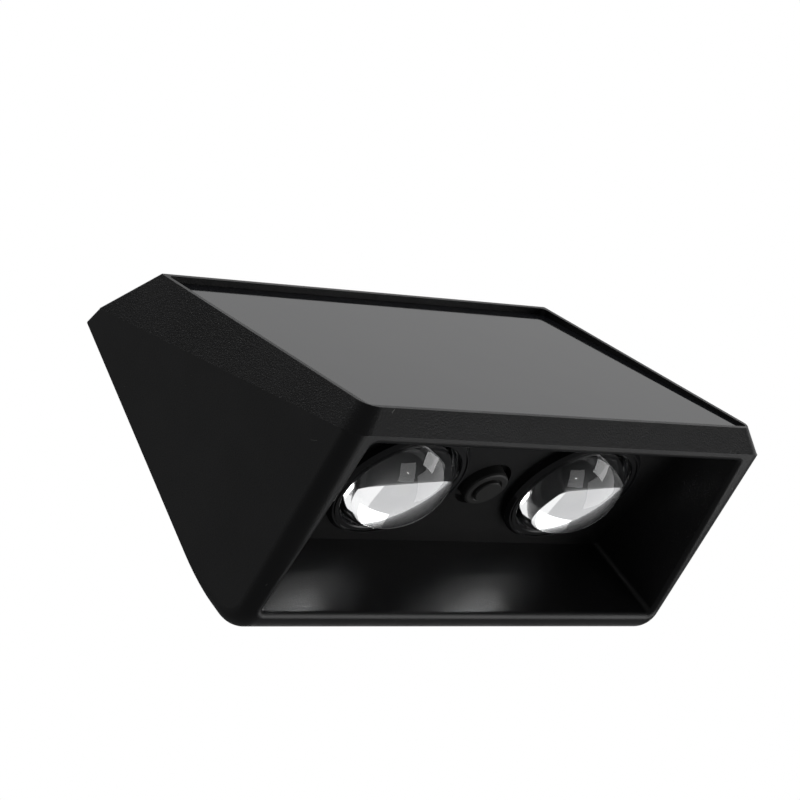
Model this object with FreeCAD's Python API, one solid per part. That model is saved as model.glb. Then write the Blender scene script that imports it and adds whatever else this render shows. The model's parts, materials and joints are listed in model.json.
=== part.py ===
import FreeCAD, Part
import math
import os
from FreeCAD import Placement, Rotation, Vector

# Solar fence light: a wedge-shaped wall lamp. A drafted housing hangs on the fence, a cover
# with the solar panel closes its slanted front, and a recess underneath holds two lenses and
# a push button. Millimetres, +Z up, the wall is the plane Y = 0 and the lamp stands out to -Y.
# The origin is midway between the two keyholes, on the wall plane.

os.makedirs("parts", exist_ok=True)

# ---- Driving dimensions -------------------------------------------------------------------
# Side view: "out" is the distance from the wall, "drop" the distance below the top rear edge.
LIP_DROP = 70.3         # the lip's plane would meet the wall this far down
HANG_DROP = 22.0        # keyhole seats below the top rear edge
TOP_DEPTH = 15.6        # rear edge to the panel's top edge
TOP_FALL = -0.3         # the top face falls by this over that depth, so it rises a little
PANEL_ANGLE = 56.5      # slope of the panel from level, degrees
PANEL_LEN = 61.5        # panel frame along the slope
PANEL_HALF = 50.0       # half the panel frame's width
SKIRT = 4.56            # front depth of the cover, square to the panel
SIDE_FLARE = 0.69       # the cover's sides widen by this per mm of depth
FRONT_FLARE = 0.43      # and its front runs forward by this
SEAM_REAR = 4.1         # seam meets the top face this far from the wall
CORNER_TOP = 3.2        # radius of the cover's front corners at the panel
CORNER_SEAM = 4.0       # and at the seam
EAR_R = 0.6             # rounding along the top face's side edges
SIDE_TAPER = 0.046      # the sides draw in by this per mm of drop
REAR_R = 6.8            # rounding between the rear wall and the lip
REAR_LEAN = 15.0        # that rounding stops this many degrees short of upright
BEHIND = 12.0           # the housing's form is drawn on this far behind the wall, then trimmed
LIP_R = 3.3             # rounding along the lip's side edges
MOUTH_R = 1.2           # rounding where the recess's side walls meet the lip
WALL = 2.2              # shell thickness of housing and cover

# Lamp recess underneath: its floor is the lens plate.
CREASE_OUT = 6.95       # where the plate meets the recess's wall-side face
CREASE_DROP = 50.6
PLATE_TILT = 5.3        # the plate rises to the front, degrees
PLATE_T = 1.8
PLATE_HALF = 44.8       # half the plate's width
PLATE_LEN = 33.4
RECESS_R = 1.0          # corner radius of the recess
TUB_WALL = 1.6
SIDE_DRAFT = 0.34       # the recess widens by this per mm of depth, at the sides
REAR_DRAFT = 0.022      # at the wall
FRONT_DRAFT = 0.483     # at the front
TUB_CLEAR = 4.2         # the tub keeps this far below the panel plane

# Lenses and button, in the plate's own directions.
LENS_X = 22.5
LENS_V = 18.1           # from the crease
LENS_R = 11.7
LENS_BASE = 1.2         # the dome starts this far below the plate
LENS_RISE = 6.8
LENS_FLANGE_R = 14.2
LENS_FLANGE_T = 1.5
RING_R = 14.2           # bezel ring round each lens
RING_H = 2.0
RING_CHAMFER = 0.7
RING_HOLE_R = 12.9      # hole in the plate
RING_GROOVE = 0.35      # ornamental groove in the ring's face
SEAL_T = 0.8
BUTTON_V = 17.5
WELL_R = 5.7
CAP_R = 4.5
CAP_STAND = 1.5         # the cap stands this far below the plate
CAP_DISC_R = 2.7
CAP_DISC_H = 0.6
CAP_FLANGE_R = 6.2
CAP_FLANGE_T = 0.8
CAP_TRAVEL = 1.2
GASKET_R = 7.4

# Boards and what sits on them.
CLAMP_T = 1.5
CLAMP_HALF = 42.0
CLAMP_V = (3.6, 31.0)
CLAMP_WINDOW_R = 11.0
POST_GAP = 2.7          # clamp to board
POST_R = 2.4
POST_X = 39.6
POST_V = (8.2, 27.2)
BOARD_T = 1.6
BOARD_HALF = 42.0
BOARD_V = (5.0, 30.0)
LED_SIZE = 5.0
LED_T = 1.6
SWITCH_SIZE = 6.2
SWITCH_H = 3.2
PLUNGER_R = 1.7
PLUNGER_PLAY = 0.06

# Panel stack in its tilted pocket.
RIM = 1.0               # land round the panel
POCKET_REAR = 1.2       # top of the panel below the rim, at the rear
POCKET_FRONT = 0.5      # and at the front
GLAZE_T = 0.3
CELL_T = 0.2
PANEL_BOARD_T = 1.2
GLUE_T = 0.3
LEDGE_W = 2.5
LEDGE_T = 1.3
PANEL_GAP = 0.15
CELL_COUNT = 8
CELL_GAP = 0.8
CELL_MARGIN = 2.4

# Cell, seal, screws and keyholes.
CELL_R = 9.2            # 18650 cell
CELL_HALF = 32.5
SLEEVE_T = 0.15
CELL_OUT = 13.0
CELL_DROP = 26.5
TAB_T = 0.25
CRADLE_X = 20.0
CRADLE_T = 1.6
RIB_FIT = 0.3
SEAL_INSET = 1.2        # seal lies this far inside the outer edge of the seam
SEAL_W = 1.2
SEAL_DEPTH = 1.4
SCREW_X = 50.0
SCREW_DROPS = (8.5, 30.0)
SCREW_SEAT = 3.0        # plastic under a screw's head
SCREW_LEN = 6.0
SCREW_R = 1.3
HEAD_R = 2.3
HEAD_H = 1.8
TOWER_R = 3.5
SMALL_SCREW_R = 0.95
SMALL_HEAD_R = 1.7
SMALL_HEAD_H = 1.2
KEYHOLE_X = 40.0
KEYHOLE_R = 4.0
KEYHOLE_SLOT_R = 2.0
KEYHOLE_LEN = 8.0
KEYHOLE_POCKET = 4.4
POCKET_WALL = 1.2
WIRE_R = 0.55
WIRE_PITCH = 3.0        # the panel's two wires lie this far apart
PANEL_WIRE_X = -22.0
PANEL_WIRE_U = 35.0     # where they leave the panel's back
PANEL_WIRE_V = 22.0     # and where they meet the board
CELL_WIRE_V = 11.0
FIT = 0.1               # general clearance between seated pieces

X = Vector(1, 0, 0)
BIG = 90.0              # reach of the cutting blocks


# ---- Frames: local x is the lamp's width in all of them --------------------------------------
def side_point(out, drop):
    return Vector(0, -out, HANG_DROP - drop)


def tilted_frame(origin, y_axis, z_axis):
    return Placement(origin, Rotation(X, y_axis, z_axis, "XYZ"))


def slope_frame(out, drop, angle):
    """Local y runs forward and down at an angle from level, z into the lamp."""
    a = math.radians(angle)
    down = Vector(0, -math.cos(a), -math.sin(a))
    return tilted_frame(side_point(out, drop), down, X.cross(down))


WALL_FRAME = tilted_frame(Vector(0, 0, 0), Vector(0, 0, 1), Vector(0, -1, 0))   # x, height, out
SIDE_VIEW = Placement(Vector(0, 0, 0), Rotation(Vector(0, -1, 0), Vector(0, 0, 1), -X, "XYZ"))  # out, height
PANEL = slope_frame(TOP_DEPTH, TOP_FALL, PANEL_ANGLE)                          # x, down, depth
PLATE = slope_frame(CREASE_OUT, CREASE_DROP, -PLATE_TILT)                      # x, forward, below
TOP_SLOPE = math.degrees(math.atan2(TOP_FALL, TOP_DEPTH))
TOP = slope_frame(0, 0, TOP_SLOPE)                                             # x, forward, below

PANEL_FRONT = PANEL.multVec(Vector(0, PANEL_LEN + FRONT_FLARE * SKIRT, SKIRT))  # seam at the front
SEAM_OUT, SEAM_DROP = -PANEL_FRONT.y, HANG_DROP - PANEL_FRONT.z
REAR_DROP = SEAM_REAR * TOP_FALL / TOP_DEPTH
SEAM_ANGLE = math.degrees(math.atan2(SEAM_DROP - REAR_DROP, SEAM_OUT - SEAM_REAR))
SEAM_LEN = math.hypot(SEAM_DROP - REAR_DROP, SEAM_OUT - SEAM_REAR)
SEAM = slope_frame(SEAM_REAR, REAR_DROP, SEAM_ANGLE)                           # x, down, inward


def in_frame(frame, other, point):
    return frame.inverse().multVec(other.multVec(point))


def seam_half(s):
    """Half-width of the lamp at distance s down the seam."""
    return PANEL_HALF + SIDE_FLARE * in_frame(PANEL, SEAM, Vector(0, s, 0)).z


def side_half(out, drop):
    """Half-width of the drafted sides: they hold the seam's side edge and taper downwards."""
    rear, front = seam_half(0), seam_half(SEAM_LEN)
    draft = (rear - front - SIDE_TAPER * (SEAM_DROP - REAR_DROP)) / (SEAM_OUT - SEAM_REAR)
    return rear - draft * (out - SEAM_REAR) - SIDE_TAPER * (drop - REAR_DROP)


def seam_out(drop):
    return SEAM_REAR + (drop - REAR_DROP) / math.tan(math.radians(SEAM_ANGLE))


# ---- Shape helpers -----------------------------------------------------------------------------
def rounded_sides(points, radii, z):
    """Corner arcs (None where sharp) and straight sides of a closed outline at height z."""
    corners, count = [], len(points)
    for i, (point, radius) in enumerate(zip(points, radii)):
        p = Vector(point[0], point[1], z)
        before = Vector(*points[i - 1], z) - p
        after = Vector(*points[(i + 1) % count], z) - p
        half = before.getAngle(after) / 2
        before.normalize()
        after.normalize()
        reach = radius / math.tan(half)
        centre = p + (before + after).normalize() * (radius / math.sin(half))
        middle = centre + (p - centre).normalize() * radius if radius else None
        corners.append((p + before * reach, middle, p + after * reach))
    arcs = [Part.Arc(*corner).toShape() if corner[1] else None for corner in corners]
    lines = [(corners[i][2], corners[(i + 1) % count][0]) for i in range(count)]
    return arcs, lines


def rounded_wire(points, radii, z):
    """Closed wire at height z whose corners are tangent arcs."""
    arcs, lines = rounded_sides(points, radii, z)
    edges = []
    for arc, line in zip(arcs, lines):
        edges += ([arc] if arc else []) + [Part.makeLine(*line)]
    return Part.Wire(edges)


def rectangle(half, y0, y1):
    return [(-half, y0), (half, y0), (half, y1), (-half, y1)]


def prism(frame, points, z0, z1, radius=0.0):
    """Straight block between two depths of a frame."""
    face = Part.Face(rounded_wire(points, [radius] * len(points), z0))
    return face.extrude(Vector(0, 0, z1 - z0)).transformed(frame.toMatrix())


def block(frame, xs, ys, z0, z1, radius=0.0):
    corners = [(xs[0], ys[0]), (xs[1], ys[0]), (xs[1], ys[1]), (xs[0], ys[1])]
    return prism(frame, corners, z0, z1, radius)


def drafted(frame, low, z0, high, z1, radii):
    """Block with flat drafted walls between two outlines; each corner edge has its own
    rounding, given as the radii at its two ends."""
    ends = [(low, z0, [r[0] for r in radii]), (high, z1, [r[1] for r in radii])]
    wires = [rounded_wire(points, r, z) for points, z, r in ends]
    (arcs0, lines0), (arcs1, lines1) = [rounded_sides(points, r, z) for points, z, r in ends]
    faces = [Part.Face(wire) for wire in wires]
    faces += [Part.makeRuledSurface(a, b) for a, b in zip(arcs0, arcs1) if a]
    faces += [Part.Face(Part.makePolygon([a, b, d, c, a])) for (a, b), (c, d) in zip(lines0, lines1)]
    shell = Part.makeShell(faces)
    shell.sewShape()
    solid = Part.makeSolid(shell)
    if solid.Volume < 0:
        solid.reverse()
    return solid.transformed(frame.toMatrix())


def is_near(edge, point):
    return edge.CenterOfMass.distanceToPoint(point) < 0.5


def side_prism(points, half):
    """Side-view outline, as (out, drop) pairs, drawn out across the width."""
    corners = [side_point(*p) - X * half for p in points]
    face = Part.Face(Part.makePolygon(corners + corners[:1]))
    return face.extrude(X * 2 * half)


def turned(frame, x, y, profile):
    """Solid of revolution about a frame's z at (x, y), from (radius, z) pairs."""
    points = [Vector(x + r, y, z) for r, z in profile]
    face = Part.Face(Part.makePolygon(points + points[:1]))
    return face.revolve(Vector(x, y, 0), Vector(0, 0, 1), 360).transformed(frame.toMatrix())


def disc(frame, x, y, radius, z0, z1):
    solid = Part.makeCylinder(radius, z1 - z0, Vector(x, y, z0))
    return solid.transformed(frame.toMatrix())


def inside_of(frame, y_limit=BIG):
    """Everything on the inner side of a frame's plane, as far as y_limit."""
    return block(frame, (-BIG, BIG), (-BIG, y_limit), 0, BIG)


def mirrored(make):
    """The same piece made at the left and at the right."""
    return [make(side) for side in (-1, 1)]


def one_solid(shape):
    solids = shape.removeSplitter().Solids
    assert len(solids) == 1, "expected one solid, found %d" % len(solids)
    return solids[0]


def keep(name, shape):
    solids = shape.Solids
    for solid in solids:
        assert solid.isValid() and solid.Volume > 0, name
    shape = solids[0] if len(solids) == 1 else Part.makeCompound(solids)
    shape.exportStep("parts/%s.step" % name)
    return shape


# ---- Outer forms -------------------------------------------------------------------------------
def lip_drop(out):
    return LIP_DROP - (LIP_DROP - SEAM_DROP) * out / SEAM_OUT


def foot_form(inset):
    """Side view of the lip and the rounding up to the rear wall. Past the wall it leans on
    behind it, so that the wall's own edges stay crisp."""
    lean, rise = math.radians(REAR_LEAN), math.atan2(LIP_DROP - SEAM_DROP, SEAM_OUT)
    radius = REAR_R - inset
    centre_out = inset + radius * math.cos(lean)
    wall_drop = lip_drop(centre_out) - inset - radius / math.cos(rise) + radius * math.sin(lean)
    slant = (lip_drop(inset) - inset - wall_drop) / (math.cos(lean) + math.tan(rise) * math.sin(lean))
    corner = (inset + slant * math.sin(lean), HANG_DROP - wall_drop - slant * math.cos(lean))
    upper = (inset - BIG * math.sin(lean), HANG_DROP - wall_drop + BIG * math.cos(lean))
    far = 2 * SEAM_OUT
    points = [corner, (far, HANG_DROP - lip_drop(far) + inset), (far, upper[1]), upper]
    outline = rounded_wire(points, [radius, 0, 0, 0], -BIG)
    return Part.Face(outline).extrude(Vector(0, 0, 2 * BIG)).transformed(SIDE_VIEW.toMatrix())


def is_mouth_side(edge):
    """True for the two edges where the recess's side walls meet the lip."""
    ends = [vertex.Point for vertex in edge.Vertexes]
    across = abs(ends[0].x - ends[-1].x) < abs(ends[0].y - ends[-1].y) if len(ends) > 1 else False
    low = all(abs(HANG_DROP - end.z - lip_drop(-end.y)) < LIP_R for end in ends)
    centre = edge.CenterOfMass
    return across and low and PLATE_HALF < abs(centre.x) < PLATE_HALF + 7 and edge.Length > PLATE_LEN / 2


def is_lip_side(edge):
    centre = edge.CenterOfMass
    return abs(centre.x) > PANEL_HALF - WALL and HANG_DROP - centre.z > SEAM_DROP
def cover_form(inset=0.0, depth=16.0):
    """Drafted block behind the panel frame: flared sides and front, rounded front corners."""
    def outline(z):
        front = PANEL_LEN + FRONT_FLARE * z - inset
        return rectangle(PANEL_HALF + SIDE_FLARE * z - inset, -BIG / 3, front)
    grow = (CORNER_SEAM - CORNER_TOP) / SKIRT
    corner = [max(CORNER_TOP + grow * z - inset, 0.5) for z in (0, depth)]
    return drafted(PANEL, outline(0), 0, outline(depth), depth, [(0, 0), (0, 0), corner, corner])


def housing_form(inset=0.0):
    """Drafted tub seen from the front, rounded at the foot of its rear wall and along the lip."""
    def outline(out):
        top, foot = TOP_FALL * out / TOP_DEPTH + inset, lip_drop(out) - inset
        wide, narrow = side_half(out, top) - inset, side_half(out, foot) - inset
        low, high = HANG_DROP - foot, HANG_DROP - top
        return [(-narrow, low), (narrow, low), (wide, high), (-wide, high)]
    ear = [max(EAR_R - inset, 0.4)] * 2
    sharp = (0, 0)
    body = drafted(WALL_FRAME, outline(-BEHIND), -BEHIND, outline(SEAM_OUT), SEAM_OUT, [sharp, sharp, ear, ear])
    body = body.common(foot_form(inset))
    body = body.makeFillet(LIP_R - inset, [edge for edge in body.Edges if is_lip_side(edge)])
    return body.common(block(WALL_FRAME, (-BIG, BIG), (-BIG, BIG), inset, BIG))


def plan_form():
    """Upright block over the seam's own outline, so the housing's front corners follow it."""
    sheet = Part.Face(rounded_wire(rectangle(BIG, -BIG / 3, BIG), [0] * 4, 0))
    sheet = sheet.transformed(SEAM.toMatrix()).common(cover_form())
    return sheet.translated(Vector(0, 0, 2)).extrude(Vector(0, 0, -2 * BIG))


def recess_form(offset=0.0, start=0.0, end=24.0):
    """The drafted lamp recess, grown by an offset, from a depth out past the lip."""
    def outline(z):
        rear = -REAR_DRAFT * z - offset
        front = PLATE_LEN + FRONT_DRAFT * z + offset
        return rectangle(PLATE_HALF + SIDE_DRAFT * z + offset, rear, front)
    corner = (RECESS_R + offset,) * 2
    return drafted(PLATE, outline(start), start, outline(end), end, [corner] * 4)


# ---- Stacks: depths that neighbouring pieces share ---------------------------------------------
# Below the plate is +z in the PLATE frame, so the inside of the lamp is -z.
PLATE_IN = -PLATE_T
FLANGE_LOW = PLATE_IN - SEAL_T
FLANGE_TOP = FLANGE_LOW - LENS_FLANGE_T
CLAMP_TOP = FLANGE_TOP - CLAMP_T
BOARD_LOW = CLAMP_TOP - POST_GAP
BOARD_TOP = BOARD_LOW - BOARD_T
GASKET_TOP = PLATE_IN - SEAL_T
CAP_FLANGE_LOW = GASKET_TOP - 0.05
CAP_FLANGE_TOP = CAP_FLANGE_LOW - CAP_FLANGE_T
SWITCH_LOW = BOARD_LOW + SWITCH_H
CELL_AXIS = side_point(CELL_OUT, CELL_DROP)
TILT = math.degrees(math.atan2(POCKET_REAR - POCKET_FRONT, PANEL_LEN - 2 * RIM))
POCKET = PANEL.multiply(Placement(Vector(0, RIM, POCKET_REAR), Rotation(X, -TILT)))
POCKET_LEN = (PANEL_LEN - 2 * RIM) / math.cos(math.radians(TILT))
CELL_LOW = GLAZE_T + CELL_T
PANEL_LOW = CELL_LOW + PANEL_BOARD_T
POCKET_FLOOR = PANEL_LOW + GLUE_T
LEDGE_LOW = POCKET_FLOOR + LEDGE_T


# ---- Housing -----------------------------------------------------------------------------------
def screw_axes():
    return [(side * SCREW_X, drop) for side in (-1, 1) for drop in SCREW_DROPS]


def housing_shell():
    """Drafted tub open at the seam, with the lamp recess sunk into its underside."""
    outer = housing_form().common(plan_form()).common(inside_of(SEAM))
    inner = housing_form(WALL)
    inner = inner.common(block(SEAM, (-BIG, BIG), (-BIG, SEAM_LEN - WALL - 1), -BIG, BIG))
    tub = recess_form(TUB_WALL, PLATE_IN).common(block(PANEL, (-BIG, BIG), (-BIG, BIG), TUB_CLEAR, BIG))
    body = outer.cut(recess_form())
    mouth = [edge for edge in body.Edges if is_mouth_side(edge)]
    return body.makeFillet(MOUTH_R, mouth).cut(inner.cut(tub))


def seal_ring(width, inset, depth):
    """Loop of square section that follows the seam just inside the lamp's outer edge."""
    def trapezoid(gap):
        s0, s1 = gap, SEAM_LEN - gap * 1.2
        return [(-seam_half(s0) + gap, s0), (seam_half(s0) - gap, s0),
                (seam_half(s1) - gap, s1), (-seam_half(s1) + gap, s1)]
    outer = prism(SEAM, trapezoid(inset), 0, depth, CORNER_SEAM - inset)
    return outer.cut(prism(SEAM, trapezoid(inset + width), -1, depth + 1, 0.8))


def cradle_ribs():
    outline = [(0, CELL_DROP - 10), (5, CELL_DROP - 10), (17, CELL_DROP + 10.5), (17, CELL_DROP + 12.4),
               (0, CELL_DROP + 12.4)]
    hollow = Part.makeCylinder(CELL_R + SLEEVE_T + RIB_FIT, 2 * BIG, CELL_AXIS - X * BIG, X)
    rib = side_prism(outline, CRADLE_T / 2).cut(hollow)
    return [rib.translated(X * x) for x in (-CRADLE_X, CRADLE_X)]


def keyhole_pocket(x, grow):
    low, high = -KEYHOLE_LEN - KEYHOLE_R - 0.6, KEYHOLE_SLOT_R + 2.6
    half = KEYHOLE_R + 0.8 + grow
    return block(WALL_FRAME, (x - half, x + half), (low - grow, high + grow), WALL - 0.1,
                 WALL + KEYHOLE_POCKET + grow, 1.2 + grow)


def keyhole_cut(x):
    head = disc(WALL_FRAME, x, -KEYHOLE_LEN, KEYHOLE_R, -1, WALL + 1)
    seat = disc(WALL_FRAME, x, 0, KEYHOLE_SLOT_R, -1, WALL + 1)
    slot = block(WALL_FRAME, (x - KEYHOLE_SLOT_R, x + KEYHOLE_SLOT_R), (-KEYHOLE_LEN, 0), -1, WALL + 1)
    return head.fuse(seat).fuse(slot)


def housing():
    body = housing_shell()
    room = housing_form(WALL / 2).common(inside_of(SEAM))
    for x, drop in screw_axes():
        tower = disc(WALL_FRAME, x, HANG_DROP - drop, TOWER_R, 0, SEAM_OUT)
        body = body.fuse(tower.common(room))
    for x in (-KEYHOLE_X, KEYHOLE_X):
        body = body.fuse(keyhole_pocket(x, POCKET_WALL).common(room))
    for rib in cradle_ribs():
        body = body.fuse(rib.common(room))
    for x in (-POST_X, POST_X):
        for v in POST_V:
            body = body.fuse(disc(PLATE, x, v, POST_R, FLANGE_TOP, PLATE_IN + 0.1))
            body = body.cut(disc(PLATE, x, v, SMALL_SCREW_R, FLANGE_TOP - 1, PLATE_IN + 0.6))
    for x, drop in screw_axes():
        seat = seam_out(drop) - SCREW_SEAT
        body = body.cut(disc(WALL_FRAME, x, HANG_DROP - drop, HEAD_R + 0.3, -1, seat))
        body = body.cut(disc(WALL_FRAME, x, HANG_DROP - drop, SCREW_R + FIT, seat - 1, SEAM_OUT + 1))
    for x in (-KEYHOLE_X, KEYHOLE_X):
        body = body.cut(keyhole_pocket(x, 0).cut(block(WALL_FRAME, (-BIG, BIG), (-BIG, BIG), 0, WALL)))
        body = body.cut(keyhole_cut(x))
    for x in (-LENS_X, LENS_X):
        body = body.cut(disc(PLATE, x, LENS_V, RING_HOLE_R, PLATE_IN - 1, 1))
    body = body.cut(disc(PLATE, 0, BUTTON_V, WELL_R, PLATE_IN - 1, 1))
    return one_solid(body.cut(seal_ring(2 * SEAL_W, SEAL_INSET, SEAL_DEPTH)))


# ---- Cover and solar panel ---------------------------------------------------------------------
def pocket_block(margin, z0, z1, radius=1.0):
    return block(POCKET, (margin + RIM - PANEL_HALF, PANEL_HALF - RIM - margin),
                 (margin, POCKET_LEN - margin), z0, z1, radius)


def cover():
    """Wedge-shaped frame: a pocket for the panel in front, hollow behind, bosses for screws."""
    body = cover_form().common(inside_of(TOP)).cut(inside_of(SEAM))
    body = round_ears(body)
    hollow = cover_form(WALL).common(inside_of(TOP.multiply(Placement(Vector(0, 0, WALL), Rotation()))))
    hollow = hollow.common(block(POCKET, (-BIG, BIG), (-BIG, BIG), LEDGE_LOW, BIG))
    hollow = hollow.common(block(SEAM, (-BIG, BIG), (-BIG, SEAM_LEN - WALL - 1), -BIG, BIG))
    for x, drop in screw_axes():
        boss = disc(WALL_FRAME, x, HANG_DROP - drop, TOWER_R, 0, SEAM_OUT + 10)
        hollow = hollow.cut(boss)
    body = body.cut(hollow)
    body = body.cut(pocket_block(0, -5, POCKET_FLOOR)).cut(pocket_block(LEDGE_W, -5, LEDGE_LOW + 20)
                                                           .cut(boss_zone()))
    for x, drop in screw_axes():
        end = seam_out(drop) - SCREW_SEAT + SCREW_LEN + 0.3
        body = body.cut(disc(WALL_FRAME, x, HANG_DROP - drop, SCREW_R + 0.02, 0, end))
    return one_solid(body)


def boss_zone():
    """Room that the bosses need behind the ledge, kept clear of the window cut."""
    towers = [disc(WALL_FRAME, x, HANG_DROP - drop, TOWER_R, 0, SEAM_OUT + 10)
              for x, drop in screw_axes()]
    return towers[0].multiFuse(towers[1:]).common(block(POCKET, (-BIG, BIG), (-BIG, BIG), LEDGE_LOW, BIG))


def round_ears(body):
    """Rounds the cover's top side edges, fading towards the panel."""
    rear = [SEAM.multVec(Vector(side * seam_half(0), 0, 0)) for side in (-1, 1)]
    front = [PANEL.multVec(Vector(side * PANEL_HALF, 0, 0)) for side in (-1, 1)]
    for start, end in zip(rear, front):
        edge = next(e for e in body.Edges if is_near(e, (start + end) / 2))
        forward = edge.valueAt(edge.FirstParameter).distanceToPoint(start) < 1
        radii = (EAR_R, 0.5) if forward else (0.5, EAR_R)
        body = body.makeFillet(radii[0], radii[1], [edge])
    return body


def cover_seal():
    return one_solid(seal_ring(SEAL_W - FIT, SEAL_INSET + FIT / 2, SEAL_DEPTH))


def panel_glaze():
    return pocket_block(PANEL_GAP, 0, GLAZE_T)


def solar_cells():
    """Strips of silicon side by side across the board, joined in series."""
    reach = PANEL_HALF - RIM - CELL_MARGIN
    pitch = 2 * reach / CELL_COUNT
    cells = []
    for i in range(CELL_COUNT):
        left = -reach + i * pitch + CELL_GAP / 2
        cells.append(block(POCKET, (left, left + pitch - CELL_GAP),
                           (CELL_MARGIN, POCKET_LEN - CELL_MARGIN), GLAZE_T, CELL_LOW))
    return cells


def panel_board():
    """Glass-fibre board with a raised land between the cells, glazed over."""
    board = pocket_block(PANEL_GAP, GLAZE_T, PANEL_LOW)
    for cell in solar_cells():
        board = board.cut(cell)
    return one_solid(board)


def panel_glue():
    loop = pocket_block(PANEL_GAP + 0.3, PANEL_LOW, POCKET_FLOOR)
    return one_solid(loop.cut(pocket_block(LEDGE_W - 0.3, PANEL_LOW - 1, POCKET_FLOOR + 1)))


# ---- Lenses, bezels and button -----------------------------------------------------------------
def lens(side):
    """Plano-convex lens: flange inside the lamp, barrel through the plate, dome below it."""
    x = side * LENS_X
    radius = (LENS_R ** 2 + LENS_RISE ** 2) / (2 * LENS_RISE)
    tip = LENS_BASE + LENS_RISE
    corner = radius - LENS_RISE
    turn = math.atan2(LENS_R, corner) / 2
    middle = Vector(radius * math.sin(turn), 0, tip - radius + radius * math.cos(turn))
    points = [Vector(0, 0, FLANGE_TOP), Vector(LENS_FLANGE_R, 0, FLANGE_TOP),
              Vector(LENS_FLANGE_R, 0, FLANGE_LOW), Vector(LENS_R, 0, FLANGE_LOW),
              Vector(LENS_R, 0, LENS_BASE)]
    edges = [Part.makeLine(a, b) for a, b in zip(points, points[1:])]
    edges.append(Part.Arc(points[-1], middle, Vector(0, 0, tip)).toShape())
    edges.append(Part.makeLine(Vector(0, 0, tip), points[0]))
    body = Part.Face(Part.Wire(edges)).revolve(Vector(0, 0, 0), Vector(0, 0, 1), 360)
    return body.translated(Vector(x, LENS_V, 0)).transformed(PLATE.toMatrix())


def lens_ring(side):
    """Bezel pressed into the plate's hole, with a chamfered foot and a turned groove."""
    bore = LENS_R + 0.25
    spigot = RING_HOLE_R - FIT / 2
    lip = (RING_R + bore) / 2
    profile = [(bore, FLANGE_LOW + FIT / 2 + 0.9), (spigot, FLANGE_LOW + FIT / 2 + 0.9), (spigot, 0.02),
               (RING_R, 0.02), (RING_R, RING_H - RING_CHAMFER), (RING_R - RING_CHAMFER, RING_H),
               (lip + RING_GROOVE / 2, RING_H), (lip + RING_GROOVE / 2, RING_H - RING_GROOVE),
               (lip - RING_GROOVE / 2, RING_H - RING_GROOVE), (lip - RING_GROOVE / 2, RING_H),
               (bore + 0.2, RING_H), (bore, RING_H - 0.2)]
    return turned(PLATE, side * LENS_X, LENS_V, profile)


def lens_seal(side):
    tube = [(RING_HOLE_R + FIT / 2, FLANGE_LOW), (LENS_FLANGE_R, FLANGE_LOW),
            (LENS_FLANGE_R, PLATE_IN), (RING_HOLE_R + FIT / 2, PLATE_IN)]
    return turned(PLATE, side * LENS_X, LENS_V, tube)


def button_cap():
    """Rubber cap: flange behind the gasket, round barrel, raised disc under a shallow groove."""
    profile = [(0, CAP_FLANGE_TOP - 0.4), (2.2, CAP_FLANGE_TOP - 0.4), (2.2, CAP_FLANGE_TOP),
               (CAP_FLANGE_R, CAP_FLANGE_TOP), (CAP_FLANGE_R, CAP_FLANGE_LOW),
               (CAP_R, CAP_FLANGE_LOW), (CAP_R, CAP_STAND - 0.5), (CAP_R - 0.15, CAP_STAND - 0.15),
               (CAP_R - 0.5, CAP_STAND), (CAP_DISC_R + 0.45, CAP_STAND),
               (CAP_DISC_R + 0.1, CAP_STAND - 0.3), (CAP_DISC_R, CAP_STAND - 0.3),
               (CAP_DISC_R, CAP_STAND + CAP_DISC_H - 0.2), (CAP_DISC_R - 0.2, CAP_STAND + CAP_DISC_H),
               (0, CAP_STAND + CAP_DISC_H)]
    return turned(PLATE, 0, BUTTON_V, profile)


def button_gasket():
    """Rubber washer under the plate that wipes the cap and keeps rain out."""
    ring = [(CAP_R + 0.15, GASKET_TOP), (GASKET_R, GASKET_TOP), (GASKET_R, PLATE_IN),
            (CAP_R + 0.15, PLATE_IN)]
    return turned(PLATE, 0, BUTTON_V, ring)


# ---- Light board and switch ----------------------------------------------------------------------
def post_places():
    return [(x, v) for x in (-POST_X, POST_X) for v in POST_V]


def lens_clamp():
    """Frame that presses both lens flanges down and carries the board on four posts."""
    body = block(PLATE, (-CLAMP_HALF, CLAMP_HALF), CLAMP_V, CLAMP_TOP, FLANGE_TOP, 2.5)
    for x, v in post_places():
        body = body.fuse(disc(PLATE, x, v, POST_R, BOARD_LOW, CLAMP_TOP + 0.1))
    for x in (-LENS_X, LENS_X):
        tube = disc(PLATE, x, LENS_V, CLAMP_WINDOW_R + 1.0, BOARD_LOW + 0.2, CLAMP_TOP + 0.1)
        body = body.fuse(tube).cut(disc(PLATE, x, LENS_V, CLAMP_WINDOW_R, BOARD_LOW - 1, 0))
    body = body.cut(disc(PLATE, 0, BUTTON_V, GASKET_R - 0.4, CLAMP_TOP - 1, 0))
    for x, v in post_places():
        body = body.cut(disc(PLATE, x, v, SMALL_SCREW_R + FIT, BOARD_LOW - 1, 0))
    return one_solid(body)


def light_board():
    board = block(PLATE, (-BOARD_HALF, BOARD_HALF), BOARD_V, BOARD_TOP, BOARD_LOW, 1.0)
    for x, v in post_places():
        board = board.cut(disc(PLATE, x, v, SMALL_SCREW_R + FIT, BOARD_TOP - 1, BOARD_LOW + 1))
    return board


def led(side):
    """Square emitter: white cup with a sunk phosphor face."""
    half = LED_SIZE / 2
    x = side * LENS_X
    cup = block(PLATE, (x - half, x + half), (LENS_V - half, LENS_V + half), BOARD_LOW,
                BOARD_LOW + LED_T, 0.3)
    return cup.cut(disc(PLATE, x, LENS_V, half - 0.6, BOARD_LOW + LED_T - 0.3, 0))


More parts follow.
